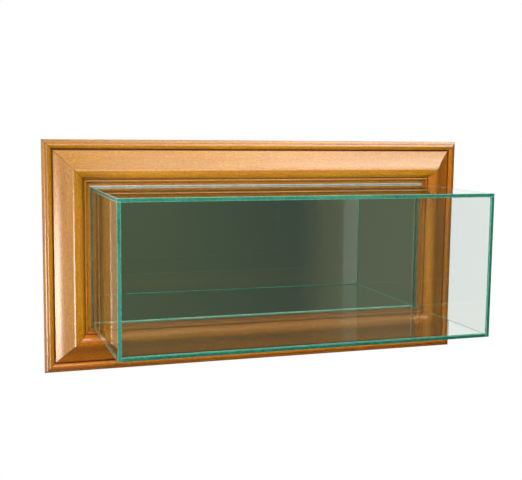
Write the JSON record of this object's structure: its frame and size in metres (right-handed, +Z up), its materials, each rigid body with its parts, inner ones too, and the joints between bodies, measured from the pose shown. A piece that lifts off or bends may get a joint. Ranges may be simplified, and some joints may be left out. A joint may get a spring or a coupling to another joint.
{
  "type": "mini helmet display case",
  "caption": "Wall-hung display case: a clear glass box standing out of a mitred, moulded wood frame with a mirror back that lifts out to the rear.",
  "frame": {"origin": "on the wall plane, at the middle of the frame's width and height, where the four rear bumpers bear", "axes": "+X to the right as seen from the front, +Y back into the wall, +Z up; the glass faces -Y"},
  "size_m": [0.508, 0.1815, 0.26],
  "materials": {
    "wood": "satin lacquer over warm brown stain, fine open grain",
    "glass": "clear float glass with ground green edges",
    "mirror": "silvered glass, polished",
    "board": "tempered hardboard, matt",
    "steel": "zinc plated",
    "magnet": "nickel plated",
    "silicone": "cured clear sealant, glossy",
    "tape": "foam mounting tape",
    "ribbon": "woven ribbon",
    "rubber": "soft bumper"
  },
  "bodies": {
    "case": {"frame_rail_top": "wood", "frame_rail_bottom": "wood", "frame_rail_left": "wood", "frame_rail_right": "wood", "corner_nail_top_left_1": "steel", "corner_nail_top_left_2": "steel", "corner_nail_top_right_1": "steel", "corner_nail_top_right_2": "steel", "corner_nail_bottom_left_1": "steel", "corner_nail_bottom_left_2": "steel", "corner_nail_bottom_right_1": "steel", "corner_nail_bottom_right_2": "steel", "glass_top": "glass", "glass_left": "glass", "glass_right": "glass", "glass_floor": "glass", "glass_front": "glass", "sealant_ring": "silicone", "magnet_top_left": "magnet", "magnet_top_right": "magnet", "magnet_bottom_left": "magnet", "magnet_bottom_right": "magnet", "keyhole_plate_left": "steel", "keyhole_plate_right": "steel", "plate_screw_left_lower": "steel", "plate_screw_left_upper": "steel", "plate_screw_right_lower": "steel", "plate_screw_right_upper": "steel", "wall_bumper_top_left": "rubber", "wall_bumper_top_right": "rubber", "wall_bumper_bottom_left": "rubber", "wall_bumper_bottom_right": "rubber"},
    "back_panel": {"back_mirror": "mirror", "mirror_tape_upper": "tape", "mirror_tape_lower": "tape", "back_board": "board", "strike_disc_top_left": "steel", "strike_disc_top_right": "steel", "strike_disc_bottom_left": "steel", "strike_disc_bottom_right": "steel", "pull_ribbon": "ribbon", "pull_rivet": "steel"}
  },
  "joints": [
    {"name": "back_panel_lift_out", "type": "slide", "parent": "case", "child": "back_panel", "axis": [0, 1, 0], "range_m": [0, 0.18]}
  ]
}
